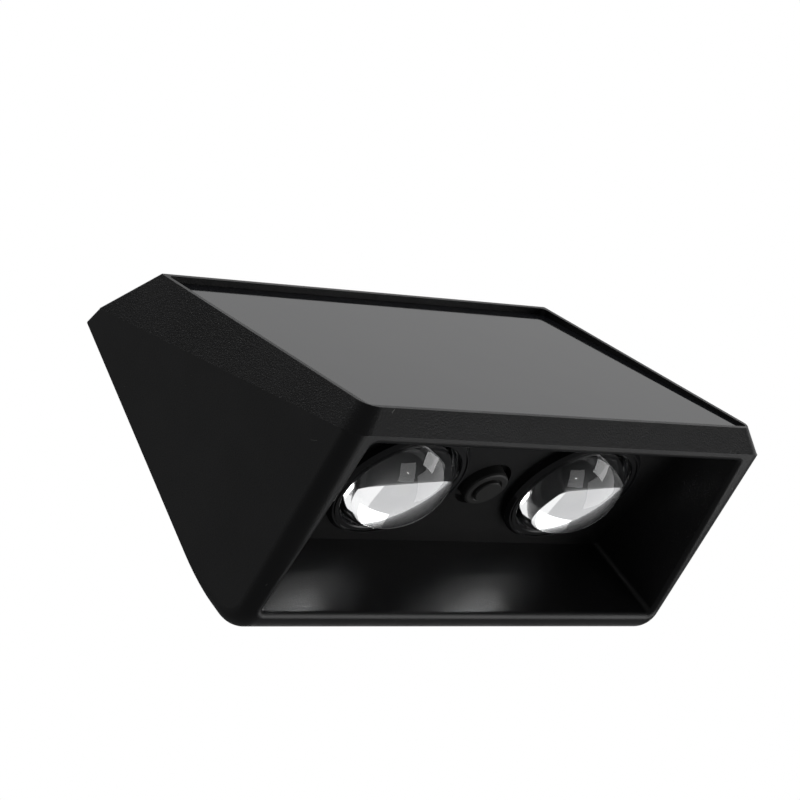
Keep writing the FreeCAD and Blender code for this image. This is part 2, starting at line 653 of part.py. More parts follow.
def led_phosphor(side):
    return disc(PLATE, side * LENS_X, LENS_V, LED_SIZE / 2 - 0.6, BOARD_LOW + LED_T - 0.3,
                BOARD_LOW + LED_T - 0.05)


def switch_body():
    half = SWITCH_SIZE / 2
    box = block(PLATE, (-half, half), (BUTTON_V - half, BUTTON_V + half), BOARD_LOW, SWITCH_LOW, 0.3)
    return box.cut(disc(PLATE, 0, BUTTON_V, PLUNGER_R + PLUNGER_PLAY, BOARD_LOW + 0.3, SWITCH_LOW + 1))


def switch_plunger():
    """Rests against the cap and slides with it into the switch."""
    return disc(PLATE, 0, BUTTON_V, PLUNGER_R, BOARD_LOW + 0.4 + CAP_TRAVEL, CAP_FLANGE_TOP - 0.4)


def chip_at(x, v, size_x, size_v, height):
    return block(PLATE, (x - size_x / 2, x + size_x / 2), (v - size_v / 2, v + size_v / 2),
                 BOARD_TOP - height, BOARD_TOP)


def charge_chip():
    return chip_at(-9.0, 12.0, 5.0, 4.0, 1.5)


def small_parts():
    """Resistors, capacitors and the diode on the board's upper side."""
    places = [(-16, 10, 2.0, 1.25), (-16, 14, 2.0, 1.25), (-4, 10, 1.25, 2.0), (-4, 14, 1.25, 2.0),
              (5, 9, 2.0, 1.25), (5, 12, 2.0, 1.25), (-28, 12, 3.2, 1.6), (28, 12, 3.2, 1.6)]
    return [chip_at(x, v, a, b, 0.6) for x, v, a, b in places]


def boost_coil():
    return disc(PLATE, 12.0, 14.0, 2.4, BOARD_TOP - 2.0, BOARD_TOP)


def board_screws():
    screws = []
    for x, v in post_places():
        head = disc(PLATE, x, v, SMALL_HEAD_R, BOARD_TOP - SMALL_HEAD_H, BOARD_TOP)
        shank = disc(PLATE, x, v, SMALL_SCREW_R - 0.02, BOARD_TOP - 0.1, PLATE_IN + 0.4)
        slot = block(PLATE, (x - 1.1, x + 1.1), (v - 0.25, v + 0.25), BOARD_TOP - SMALL_HEAD_H - 1,
                     BOARD_TOP - SMALL_HEAD_H + 0.5)
        screws.append(one_solid(head.fuse(shank).cut(slot)))
    return screws


# ---- Battery, cover screws and wires -------------------------------------------------------------
def along_cell(x0, x1, radius, inner=0.0):
    solid = Part.makeCylinder(radius, x1 - x0, CELL_AXIS + X * x0, X)
    return solid.cut(Part.makeCylinder(inner, x1 - x0, CELL_AXIS + X * x0, X)) if inner else solid


def battery_cell():
    """Steel can with a rolled neck below its raised positive cap."""
    can = along_cell(-CELL_HALF, CELL_HALF - 1.5, CELL_R - 0.02)
    can = can.cut(along_cell(CELL_HALF - 5.0, CELL_HALF - 4.0, CELL_R + 1, CELL_R - 0.8))
    return one_solid(can.fuse(along_cell(CELL_HALF - 1.6, CELL_HALF, 3.2)))


def battery_sleeve():
    sleeve = along_cell(-CELL_HALF, CELL_HALF - 1.5, CELL_R + SLEEVE_T, CELL_R)
    return sleeve


def battery_tabs():
    """Nickel strips welded across the two ends."""
    tabs = []
    for x in (-CELL_HALF - TAB_T, CELL_HALF):
        tabs.append(Part.makeBox(TAB_T, 4, 5, CELL_AXIS + Vector(x, -2, -2.5)))
    return tabs


def battery_pad():
    """Foam between the cell and the panel's back, so the cell can't rattle."""
    u = in_frame(POCKET, Placement(), CELL_AXIS).y
    pad = block(POCKET, (-14, 14), (u - 4.5, u + 4.5), PANEL_LOW + 0.05, PANEL_LOW + 8)
    return one_solid(pad.cut(along_cell(-BIG, BIG, CELL_R + SLEEVE_T + 0.02)).cut(
        block(SEAM, (-BIG, BIG), (-BIG, BIG), BIG / 4, BIG)).common(
            block(POCKET, (-BIG, BIG), (-BIG, BIG), 0, in_frame(POCKET, Placement(), CELL_AXIS).z)))


def cover_screws():
    screws = []
    for x, drop in screw_axes():
        seat = seam_out(drop) - SCREW_SEAT
        height = HANG_DROP - drop
        head = disc(WALL_FRAME, x, height, HEAD_R, seat - HEAD_H, seat)
        shank = disc(WALL_FRAME, x, height, SCREW_R, seat - 0.1, seat + SCREW_LEN)
        cross = block(WALL_FRAME, (x - 1.4, x + 1.4), (height - 0.35, height + 0.35), 0,
                      seat - HEAD_H + 1.0)
        cross = cross.fuse(block(WALL_FRAME, (x - 0.35, x + 0.35), (height - 1.4, height + 1.4), 0,
                                 seat - HEAD_H + 1.0))
        screws.append(one_solid(head.fuse(shank).cut(cross)))
    return screws


def wire(points):
    """Round wire along a smooth curve through the points, ends squared off."""
    path = Part.BSplineCurve()
    path.interpolate([Vector(*p) for p in points])
    start = path.value(path.FirstParameter)
    ring = Part.Wire(Part.makeCircle(WIRE_R, start, path.tangent(path.FirstParameter)[0]))
    return Part.Wire(path.toShape()).makePipeShell([ring], True, False)


def on_board(x, v):
    """Last stretch of a wire, standing square on the board's upper side."""
    return [PLATE.multVec(Vector(x, v, BOARD_TOP - z)) for z in (3.0, 1.5, 0.05)]


def panel_wire(side):
    """From the panel's back, behind the cell, down to the board."""
    x = PANEL_WIRE_X + side * WIRE_PITCH / 2
    start = [POCKET.multVec(Vector(x, PANEL_WIRE_U, PANEL_LOW + z)) for z in (0.05, 1.2)]
    return wire(start + on_board(x, PANEL_WIRE_V))


def battery_wire(side):
    """From the tab on one end of the cell, out over its edge and down to the board."""
    end = CELL_AXIS + X * side * (CELL_HALF + TAB_T + FIT)
    bend = [end + X * side * 0.8, end + Vector(side * 1.6, -2, -5)]
    return wire([end] + bend + on_board(side * (CELL_HALF + 1.2), CELL_WIRE_V))


KEEP_IN_ORDER = [
    ("housing", housing), ("panel_cover", cover), ("cover_seal", cover_seal),
    ("panel_glaze", panel_glaze), ("panel_board", panel_board), ("panel_glue", panel_glue),
    ("lens_clamp", lens_clamp), ("light_board", light_board), ("switch_body", switch_body),
    ("switch_plunger", switch_plunger), ("button_cap", button_cap), ("button_gasket", button_gasket),
    ("charge_chip", charge_chip), ("boost_coil", boost_coil), ("battery_cell", battery_cell),
    ("battery_sleeve", battery_sleeve), ("battery_pad", battery_pad),
]
PAIRS = [("lens", lens), ("lens_ring", lens_ring), ("lens_seal", lens_seal), ("led", led),
         ("led_phosphor", led_phosphor), ("panel_wire", panel_wire), ("battery_wire", battery_wire)]
GROUPS = [("solar_cells", solar_cells), ("small_parts", small_parts), ("board_screws", board_screws),
          ("battery_tabs", battery_tabs), ("cover_screws", cover_screws)]

for name, make in KEEP_IN_ORDER:
    keep(name, make())
for name, make in PAIRS:
    for side, piece in zip(("left", "right"), mirrored(make)):
        keep("%s_%s" % (name, side), piece)
for name, make in GROUPS:
    keep(name, Part.makeCompound(make()))
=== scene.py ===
import json
import math

import bmesh
import bpy
from mathutils import Euler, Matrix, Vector


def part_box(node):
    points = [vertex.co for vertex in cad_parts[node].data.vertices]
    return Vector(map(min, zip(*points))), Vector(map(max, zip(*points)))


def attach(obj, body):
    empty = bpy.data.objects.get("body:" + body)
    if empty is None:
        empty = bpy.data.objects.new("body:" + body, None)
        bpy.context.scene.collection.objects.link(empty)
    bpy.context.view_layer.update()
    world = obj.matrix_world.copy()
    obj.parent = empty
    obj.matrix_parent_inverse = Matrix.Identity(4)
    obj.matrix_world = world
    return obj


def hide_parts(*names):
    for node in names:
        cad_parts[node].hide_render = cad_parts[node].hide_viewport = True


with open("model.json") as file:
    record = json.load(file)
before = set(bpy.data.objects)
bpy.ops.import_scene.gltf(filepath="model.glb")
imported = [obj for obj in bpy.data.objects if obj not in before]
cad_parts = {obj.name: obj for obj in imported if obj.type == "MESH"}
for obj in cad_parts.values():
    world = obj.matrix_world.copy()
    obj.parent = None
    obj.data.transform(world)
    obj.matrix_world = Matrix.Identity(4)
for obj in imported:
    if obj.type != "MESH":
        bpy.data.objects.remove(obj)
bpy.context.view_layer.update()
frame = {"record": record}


# ---- Studio --------------------------------------------------------------------------------------
# White product studio: the lamp hangs in the air over a pale floor, in front of plain white.
# The camera stands low at the lamp's left, looks up into its recess and leans to one side.
PHOTO_AZIMUTH = math.radians(-49.337)
PHOTO_RISE = math.radians(25.093)      # the camera looks up by this
PHOTO_LEAN = math.radians(-22.861)     # and is turned by this about its line of sight
PHOTO_REACH = 0.66008                  # from the camera to the point that it is aimed at
PHOTO_AIM = Vector((-0.007683, -0.020245, -0.006171))
PHOTO_LENS = 159.7                     # millimetres, on a sensor 36 mm wide
CAMERA_NEAR = 0.02
ROOM_WHITE = 1.0                       # brightness of the room where it is seen
ROOM_FILL = 0.11                       # and of the light that it sheds
FLOOR_DROP = 0.36                      # the floor lies below the camera, so it can't hide the lamp
FLOOR_HALF = 2.6
NEAR_FLOOR_HALF = 0.57
SHEET_GAP = 0.0005                     # the near sheet lies on the wide one
FLOOR_PALE = (0.84, 0.84, 0.845, 1)
FLOOR_MATT = 0.8

photo_camera = bpy.data.objects.new("photo_camera", bpy.data.cameras.new("photo_camera"))
photo_camera.data.lens = PHOTO_LENS
photo_camera.data.clip_start = CAMERA_NEAR
facing = Euler((math.pi / 2 + PHOTO_RISE, 0, PHOTO_AZIMUTH)).to_matrix()
facing = facing @ Euler((0, 0, PHOTO_LEAN)).to_matrix()
photo_camera.matrix_world = facing.to_4x4()
photo_camera.location = PHOTO_AIM + facing @ Vector((0, 0, PHOTO_REACH))
bpy.context.collection.objects.link(photo_camera)
bpy.context.scene.camera = photo_camera
bpy.context.scene.view_settings.view_transform = "Standard"


def light_panel(name, toward, distance, size, radiance, height=None):
    """Soft light of a given brightness that faces the lamp from a direction. The camera can't see it."""
    softbox = bpy.data.lights.new(name, "AREA")
    softbox.shape = "RECTANGLE"
    softbox.size, softbox.size_y = size, height or size
    softbox.energy = radiance * math.pi * softbox.size * softbox.size_y
    holder = bpy.data.objects.new(name, softbox)
    direction = Vector(toward).normalized()
    holder.location = PHOTO_AIM + direction * distance
    holder.rotation_euler = direction.to_track_quat("Z", "Y").to_euler()
    holder.visible_camera = False
    bpy.context.collection.objects.link(holder)
    return holder


light_panel("sky_softbox", (0.69, 0.16, 0.71), distance=1.2, size=2.4, radiance=0.49)
light_panel("side_softbox", (-0.75, 0.5, 0.45), distance=1.3, size=0.9, radiance=0.14)
light_panel("under_softbox", (0.62, -0.22, -0.70), distance=0.44, size=0.34, radiance=1.6)
light_panel("top_strip", (-0.02, -0.12, 1.0), distance=0.9, size=0.12, radiance=5.0, height=0.4)
glass_lights = [                       # seen as squares and a point on the lenses, and kept to them
    light_panel("grid_softbox", (0.53, -0.62, -0.58), distance=0.5, size=0.21, radiance=4.8, height=0.17),
    light_panel("low_softbox", (-0.09, -0.5, -0.86), distance=0.32, size=0.13, radiance=1.7, height=0.15),
    light_panel("low_bulb", (-0.088, -0.5, -0.86), distance=0.3, size=0.007, radiance=90.0),
]

room = bpy.data.worlds.new("white_room")
room.use_nodes = True
room_nodes, room_links = room.node_tree.nodes, room.node_tree.links
room_nodes.clear()
seen = room_nodes.new("ShaderNodeBackground")
seen.inputs["Color"].default_value = (1, 1, 1, 1)
seen.inputs["Strength"].default_value = ROOM_WHITE
fill = room_nodes.new("ShaderNodeBackground")
fill.inputs["Color"].default_value = (0.97, 0.98, 1.0, 1)
fill.inputs["Strength"].default_value = ROOM_FILL
sight = room_nodes.new("ShaderNodeLightPath")
either = room_nodes.new("ShaderNodeMath")
either.operation = "MAXIMUM"
room_mix = room_nodes.new("ShaderNodeMixShader")
room_out = room_nodes.new("ShaderNodeOutputWorld")
room_links.new(sight.outputs["Is Camera Ray"], either.inputs[0])
room_links.new(sight.outputs["Is Transmission Ray"], either.inputs[1])
room_links.new(either.outputs[0], room_mix.inputs["Fac"])
room_links.new(fill.outputs[0], room_mix.inputs[1])
room_links.new(seen.outputs[0], room_mix.inputs[2])
room_links.new(room_mix.outputs[0], room_out.inputs["Surface"])
bpy.context.scene.world = room


def new_finish(name):
    """Empty material with a Principled shader; gives its material, node tree and shader."""
    finish = bpy.data.materials.new(name)
    finish.use_nodes = True
    tree = finish.node_tree
    shader = next(node for node in tree.nodes if node.type == "BSDF_PRINCIPLED")
    return finish, tree, shader


def mesh_piece(name, verts, faces, finish):
    """New object from corners and faces, in one finish."""
    mesh = bpy.data.meshes.new(name)
    mesh.from_pydata([tuple(v) for v in verts], [], faces)
    mesh.materials.append(finish)
    piece = bpy.data.objects.new(name, mesh)
    bpy.context.collection.objects.link(piece)
    return piece


floor_finish, _, floor_shader = new_finish("studio_floor")
floor_shader.inputs["Base Color"].default_value = FLOOR_PALE
floor_shader.inputs["Roughness"].default_value = FLOOR_MATT


def floor_sheet(name, half, height):
    """Square of floor that glossy and bounced rays pass by, so it sheds no light on the lamp."""
    corners = [(-half, -half), (half, -half), (half, half), (-half, half)]
    sheet = mesh_piece(name, [(x, y, height) for x, y in corners], [(0, 1, 2, 3)], floor_finish)
    sheet.visible_glossy = sheet.visible_diffuse = False
    return sheet


studio_floor = floor_sheet("studio_floor", FLOOR_HALF, -FLOOR_DROP)
studio_floor.visible_transmission = False          # past the near sheet the lenses show plain white
near_floor = floor_sheet("near_floor", NEAR_FLOOR_HALF, -FLOOR_DROP + SHEET_GAP)
floor_light = light_panel("floor_softbox", (0, 0, 1), distance=1.2, size=2.4, radiance=0.9)
floor_pieces = bpy.data.collections.new("floor_pieces")
floor_pieces.objects.link(studio_floor)
floor_pieces.objects.link(near_floor)
floor_light.light_linking.receiver_collection = floor_pieces


# ---- Housing -------------------------------------------------------------------------------------
# Injection-moulded black ABS tub with fine spark texture outside. It carries every other piece,
# and its underside is the recess for the lenses. A little dust and a few fibres cling to it.
def new_group(name, inputs, outputs):
    """Shader node group with named sockets; gives the group and its two end nodes."""
    group = bpy.data.node_groups.new(name, "ShaderNodeTree")
    for title, value in inputs:
        group.interface.new_socket(title, in_out="INPUT", socket_type="NodeSocketFloat").default_value = value
    for title in outputs:
        group.interface.new_socket(title, in_out="OUTPUT", socket_type="NodeSocketFloat")
    return group, group.nodes.new("NodeGroupInput"), group.nodes.new("NodeGroupOutput")


def maths(tree, operation, first, second=None):
    """Math node on sockets or plain numbers; gives its output."""
    node = tree.nodes.new("ShaderNodeMath")
    node.operation = operation
    for socket, value in zip(node.inputs, (first, second)):
        if isinstance(value, bpy.types.NodeSocket):
            tree.links.new(value, socket)
        elif value is not None:
            socket.default_value = value
    return node.outputs[0]


def noise_at(tree, scale, detail=2.0, roughness=0.5):
    """Noise on Object coordinates; scale is a number or a socket, in waves per metre."""
    place = tree.nodes.new("ShaderNodeTexCoord")
    noise = tree.nodes.new("ShaderNodeTexNoise")
    noise.inputs["Detail"].default_value = detail
    noise.inputs["Roughness"].default_value = roughness
    tree.links.new(place.outputs["Object"], noise.inputs["Vector"])
    if isinstance(scale, bpy.types.NodeSocket):
        tree.links.new(scale, noise.inputs["Scale"])
    else:
        noise.inputs["Scale"].default_value = scale
    return noise.outputs["Fac"]


def ramp(tree, value, low, high, to_low=0.0, to_high=1.0):
    """Smooth step of a value between two ends, each a number or a socket; gives its output."""
    node = tree.nodes.new("ShaderNodeMapRange")
    node.interpolation_type = "SMOOTHSTEP"
    for title, item in (("Value", value), ("From Min", low), ("From Max", high), ("To Min", to_low),
                        ("To Max", to_high)):
        if isinstance(item, bpy.types.NodeSocket):
            tree.links.new(item, node.inputs[title])
        else:
            node.inputs[title].default_value = item
    return node.outputs["Result"]


GLOSS_SWELLS = 55.0          # waves per metre
SWELL_STEP = (0.3, 0.7)      # the noise goes from dull to glossy between these
SPECK_CELLS = 420.0          # places for a speck, per metre
SPECK_SKEW = 3.0             # a power, so that most specks are small
SPECK_CLUMPS = 90.0          # clumps that the specks gather in, per metre
CLUMP_STEP = (0.48, 0.62)
NOISE_MIDDLE = 0.5           # a fibre follows the curve where the noise is at its middle
FIBRE_LOOPS = 210.0          # such curves, per metre
FIBRE_CORE = 0.0035          # how far from the curve a fibre is solid, in the noise's own units
FIBRE_EDGE = 0.0065
FIBRE_BREAKS = 330.0         # patches that leave short lengths of fibre, per metre
FIBRE_RARE = 0.83            # a patch above this keeps its fibre
FIBRE_MORE = 0.06            # and the Amount lowers that by up to this


def moulded_grain_group():
    """Spark-eroded mould texture: fine pits over slow swells of gloss."""
    group, enter, leave = new_group("moulded_grain", [("Pits per metre", 3200.0), ("Swell", 0.5)],
                                    ["Height", "Gloss swell"])
    pits = noise_at(group, enter.outputs["Pits per metre"], detail=3.0, roughness=0.62)
    slow = noise_at(group, GLOSS_SWELLS, detail=3.0)
    swell = maths(group, "MULTIPLY", ramp(group, slow, *SWELL_STEP), enter.outputs["Swell"])
    group.links.new(pits, leave.inputs["Height"])
    group.links.new(swell, leave.inputs["Gloss swell"])
    return group


def dust_group():
    """Specks and short fibres that cling to plastic; a larger Amount keeps more of them."""
    group, enter, leave = new_group("settled_dust", [("Amount", 0.5), ("Speck size", 0.06)], ["Mask"])
    place = group.nodes.new("ShaderNodeTexCoord")
    cells = group.nodes.new("ShaderNodeTexVoronoi")
    cells.inputs["Scale"].default_value = SPECK_CELLS
    group.links.new(place.outputs["Object"], cells.inputs["Vector"])
    split = group.nodes.new("ShaderNodeSeparateColor")
    group.links.new(cells.outputs["Color"], split.inputs["Color"])
    mostly_small = maths(group, "POWER", split.outputs["Red"], SPECK_SKEW)
    size = maths(group, "MULTIPLY", mostly_small, enter.outputs["Speck size"])
    speck = maths(group, "LESS_THAN", cells.outputs["Distance"], size)
    clump = ramp(group, noise_at(group, SPECK_CLUMPS), *CLUMP_STEP)
    kept = maths(group, "GREATER_THAN", enter.outputs["Amount"], split.outputs["Green"])
    specks = maths(group, "MULTIPLY", maths(group, "MULTIPLY", speck, clump), kept)
    curve = maths(group, "SUBTRACT", noise_at(group, FIBRE_LOOPS, detail=0.0), NOISE_MIDDLE)
    thread = ramp(group, maths(group, "ABSOLUTE", curve), FIBRE_CORE, FIBRE_EDGE, 1.0, 0.0)
    lowered = maths(group, "MULTIPLY", enter.outputs["Amount"], FIBRE_MORE)
    needed = maths(group, "SUBTRACT", FIBRE_RARE, lowered)
    short = maths(group, "GREATER_THAN", noise_at(group, FIBRE_BREAKS, detail=0.0), needed)
    fibres = maths(group, "MULTIPLY", thread, short)
    group.links.new(maths(group, "MAXIMUM", specks, fibres), leave.inputs["Mask"])
    return group


def use_group(tree, group, **values):
    """Puts a shared group into a material; an underscore in a value's name is a space."""
    node = tree.nodes.new("ShaderNodeGroup")
    node.node_tree = group
    for title, value in values.items():
        node.inputs[title.replace("_", " ")].default_value = value
    return node


def mixed(tree, mask, low, high):
    """Colour that goes from low to high with a mask."""
    node = tree.nodes.new("ShaderNodeMix")
    node.data_type = "RGBA"
    tree.links.new(mask, node.inputs["Factor"])
    for title, colour in (("A", low), ("B", high)):
        socket = next(s for s in node.inputs if s.name == title and s.type == "RGBA")
        if isinstance(colour, bpy.types.NodeSocket):
            tree.links.new(colour, socket)
        else:
            socket.default_value = (*colour, 1)
    return next(s for s in node.outputs if s.type == "RGBA")


def raised(tree, shader, height, depth):
    """Bump of a real depth in metres on the shader's normal."""
    bump = tree.nodes.new("ShaderNodeBump")
    bump.inputs["Strength"].default_value = 1.0
    bump.inputs["Distance"].default_value = depth
    tree.links.new(height, bump.inputs["Height"])
    tree.links.new(bump.outputs["Normal"], shader.inputs["Normal"])


MOULDED_GRAIN = moulded_grain_group()
SETTLED_DUST = dust_group()
DUST_GREY = (0.16, 0.155, 0.15)
ABS_IOR = 1.53


def moulded_black(name, colour, pits, depth, gloss, dust):
    """Black ABS: grained, with swells of gloss and some dust. gloss is its roughness range."""
    finish, tree, shader = new_finish(name)
    grain = use_group(tree, MOULDED_GRAIN, Pits_per_metre=pits, Swell=1.0)
    specks = use_group(tree, SETTLED_DUST, Amount=dust)
    shader.inputs["IOR"].default_value = ABS_IOR
    tree.links.new(mixed(tree, specks.outputs["Mask"], colour, DUST_GREY), shader.inputs["Base Color"])
    tree.links.new(ramp(tree, grain.outputs["Gloss swell"], 0.0, 1.0, *gloss), shader.inputs["Roughness"])
    raised(tree, shader, grain.outputs["Height"], depth)
    return finish


def dress(node, finish):
    """Gives a CAD node its finish."""
    for place in bpy.data.objects[node].material_slots:
        place.material = finish


housing_abs = moulded_black("housing_abs", (0.005, 0.005, 0.0055), pits=3600.0, depth=0.00004,
                            gloss=(0.36, 0.41), dust=0.35)
dress("housing", housing_abs)


# ---- Panel cover ---------------------------------------------------------------------------------
# Separate moulded frame of the same black ABS, with a coarser grain. It closes the housing's
# slanted front, and its four bosses take the screws that come through from the rear.
cover_abs = moulded_black("cover_abs", (0.006, 0.0058, 0.0064), pits=3000.0, depth=0.00008,
                          gloss=(0.36, 0.44), dust=0.9)
dress("panel_cover", cover_abs)


# ---- Cover seal ----------------------------------------------------------------------------------
# Loop of matt black silicone rubber pressed into the housing's groove behind the cover. Its
# grain is finer than the plastic's, and its colour drifts a little.
RUBBER_PITS = 5200.0
RUBBER_PALER = 1.5           # the palest places, as a share of the colour
RUBBER_STEP = (0.2, 0.8)     # its roughness follows the grain between these


def rubber(name, colour, gloss, depth):
    """Matt rubber: grained, a little uneven in colour. gloss is its roughness range."""
    finish, tree, shader = new_finish(name)
    grain = use_group(tree, MOULDED_GRAIN, Pits_per_metre=RUBBER_PITS, Swell=1.0)
    tint = mixed(tree, grain.outputs["Gloss swell"], colour, tuple(c * RUBBER_PALER for c in colour))
    tree.links.new(tint, shader.inputs["Base Color"])
    tree.links.new(ramp(tree, grain.outputs["Height"], *RUBBER_STEP, *gloss), shader.inputs["Roughness"])
    raised(tree, shader, grain.outputs["Height"], depth)
    return finish


silicone = rubber("black_silicone", (0.02, 0.02, 0.02), gloss=(0.6, 0.75), depth=0.00001)
dress("cover_seal", silicone)


# ---- Solar panel ---------------------------------------------------------------------------------
# Laminate of a black glass-fibre board, eight strips of silicon and a tinted clear resin. It
# lies in the cover's pocket on a bead of clear silicone. The resin is glossy and almost flat.
CELL_STRIPS = 8
GAP_HALF = 0.02              # half the gap between two strips, in strip widths
GAP_EDGE = 0.045             # and where its soft edge ends
RESIN_IOR = 1.5
RESIN_WAVES = 60.0           # slow waves in the poured face, per metre
RESIN_WAVE_DEPTH = 0.00002
RESIN_GLOSS = (0.05, 0.08)
glaze, glaze_tree, glaze_shader = new_finish("panel_resin")
cells_low, cells_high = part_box("solar_cells")
strip_pitch = (cells_high[0] - cells_low[0]) / CELL_STRIPS
glaze_place = glaze_tree.nodes.new("ShaderNodeTexCoord")
glaze_axes = glaze_tree.nodes.new("ShaderNodeSeparateXYZ")
glaze_tree.links.new(glaze_place.outputs["Object"], glaze_axes.inputs[0])
from_end = maths(glaze_tree, "SUBTRACT", glaze_axes.outputs["X"], cells_low[0])
strips_along = maths(glaze_tree, "DIVIDE", from_end, strip_pitch)
from_gap = maths(glaze_tree, "PINGPONG", strips_along, 0.5)
gap = ramp(glaze_tree, from_gap, GAP_HALF, GAP_EDGE, 1.0, 0.0)
glaze_tint = mixed(glaze_tree, gap, (0.012, 0.013, 0.017), (0.02, 0.02, 0.021))
glaze_tree.links.new(glaze_tint, glaze_shader.inputs["Base Color"])
glaze_shader.inputs["IOR"].default_value = RESIN_IOR
glaze_grain = use_group(glaze_tree, MOULDED_GRAIN, Swell=1.0)
glaze_gloss = ramp(glaze_tree, glaze_grain.outputs["Gloss swell"], 0.0, 1.0, *RESIN_GLOSS)
glaze_tree.links.new(glaze_gloss, glaze_shader.inputs["Roughness"])
raised(glaze_tree, glaze_shader, noise_at(glaze_tree, RESIN_WAVES, detail=1.0), RESIN_WAVE_DEPTH)
dress("panel_glaze", glaze)


INNER_PITS = 2200.0
INNER_DEPTH = 0.00001


def plain_with_grain(name, colour, shade, gloss, metallic=0.0):
    """Finish that drifts from colour to shade and in gloss, its roughness range, for the inner pieces."""
    finish, tree, shader = new_finish(name)
    grain = use_group(tree, MOULDED_GRAIN, Pits_per_metre=INNER_PITS, Swell=1.0)
    tree.links.new(mixed(tree, grain.outputs["Gloss swell"], colour, shade), shader.inputs["Base Color"])
    tree.links.new(ramp(tree, grain.outputs["Gloss swell"], 0.0, 1.0, *gloss), shader.inputs["Roughness"])
    shader.inputs["Metallic"].default_value = metallic
    raised(tree, shader, grain.outputs["Height"], INNER_DEPTH)
    return finish


silicon = plain_with_grain("silicon", (0.01, 0.013, 0.03), (0.016, 0.02, 0.045), gloss=(0.2, 0.3))
solder_mask = plain_with_grain("black_solder_mask", (0.012, 0.012, 0.012), (0.02, 0.021, 0.02),
                               gloss=(0.25, 0.4))
glue_bead = plain_with_grain("clear_silicone_bead", (0.6, 0.6, 0.58), (0.52, 0.52, 0.5), gloss=(0.3, 0.45))
dress("solar_cells", silicon)
dress("panel_board", solder_mask)
dress("panel_glue", glue_bead)


# ---- Lenses --------------------------------------------------------------------------------------
# Two polished acrylic lenses, domed below, with a barrel and flange that are hollow behind the
# lens proper. A thin black cup lines each hollow. Light for the pieces behind passes through.
LENS_IOR = 1.49
LENS_WAVES = 160.0           # faint waves of the polish, per metre
LENS_WAVE_DEPTH = 0.000006
acrylic, acrylic_tree, acrylic_shader = new_finish("polished_acrylic")
acrylic_shader.inputs["Base Color"].default_value = (0.985, 0.99, 0.995, 1)
acrylic_shader.inputs["Roughness"].default_value = 0.0
acrylic_shader.inputs["IOR"].default_value = LENS_IOR
acrylic_shader.inputs["Transmission Weight"].default_value = 1.0
raised(acrylic_tree, acrylic_shader, noise_at(acrylic_tree, LENS_WAVES, detail=1.0), LENS_WAVE_DEPTH)
light_path = acrylic_tree.nodes.new("ShaderNodeLightPath")
clear = acrylic_tree.nodes.new("ShaderNodeBsdfTransparent")
clear.inputs["Color"].default_value = (0.9, 0.92, 0.93, 1)
pass_light = acrylic_tree.nodes.new("ShaderNodeMixShader")
acrylic_out = next(node for node in acrylic_tree.nodes if node.type == "OUTPUT_MATERIAL")
acrylic_tree.links.new(light_path.outputs["Is Shadow Ray"], pass_light.inputs["Fac"])
acrylic_tree.links.new(acrylic_shader.outputs[0], pass_light.inputs[1])
acrylic_tree.links.new(clear.outputs[0], pass_light.inputs[2])
acrylic_tree.links.new(pass_light.outputs[0], acrylic_out.inputs["Surface"])
LENS_REACH = 0.0117          # radius of the dome and of the barrel above it
LENS_RISE = 0.0068           # tip of the dome to its foot
LENS_BARREL = 0.0038         # foot of the dome to the flange
LENS_FLANGE_REACH = 0.0142
LENS_FLANGE = 0.0015
LENS_HOLLOW_REACH = 0.0110
LENS_FLAT = 0.0017           # foot of the dome to the lens's flat face, which is the hollow's floor
HOLLOW_CORNER = 0.00012      # chamfer at the foot of the hollow
CUP_GAP = 0.0001
CUP_WALL = 0.0006
ROUND_STEPS = 128
DOME_STEPS = 24
press = Vector(frame["record"]["behaviour"]["joints"][0]["axis"])   # out of the plate, into the lamp


def turned_piece(name, foot, axis, profile, finish):
    """Solid of revolution. profile holds (radius, height along the axis) pairs. It runs from pole
    to pole, which are radii of zero, or closes on itself where it starts away from the axis."""
    aside = Vector((1, 0, 0))
    ahead = axis.cross(aside)
    verts, rings = [], []
    for radius, height in profile:
        if radius == 0:
            rings.append([len(verts)])
            verts.append(foot + axis * height)
            continue
        rings.append(list(range(len(verts), len(verts) + ROUND_STEPS)))
        for i in range(ROUND_STEPS):
            turn = 2 * math.pi * i / ROUND_STEPS
            outward = aside * math.cos(turn) + ahead * math.sin(turn)
            verts.append(foot + axis * height + outward * radius)
    faces = []
    for low, high in zip(rings, rings[1:] + (rings[:1] if profile[0][0] else [])):
        for i in range(ROUND_STEPS):
            j = (i + 1) % ROUND_STEPS
            ends = [low[i % len(low)], low[j % len(low)], high[j % len(high)], high[i % len(high)]]
            faces.append(tuple(dict.fromkeys(ends)))
    piece = mesh_piece(name, verts, faces, finish)
    solid = bmesh.new()
    solid.from_mesh(piece.data)
    bmesh.ops.recalc_face_normals(solid, faces=solid.faces)
    solid.to_mesh(piece.data)
    solid.free()
    return piece


def shade_round(piece, sharp_degrees=30):
    """Smooth shading, with edges sharper than this kept crisp."""
    piece.data.polygons.foreach_set("use_smooth", [True] * len(piece.data.polygons))
    piece.data.set_sharp_from_angle(angle=math.radians(sharp_degrees))


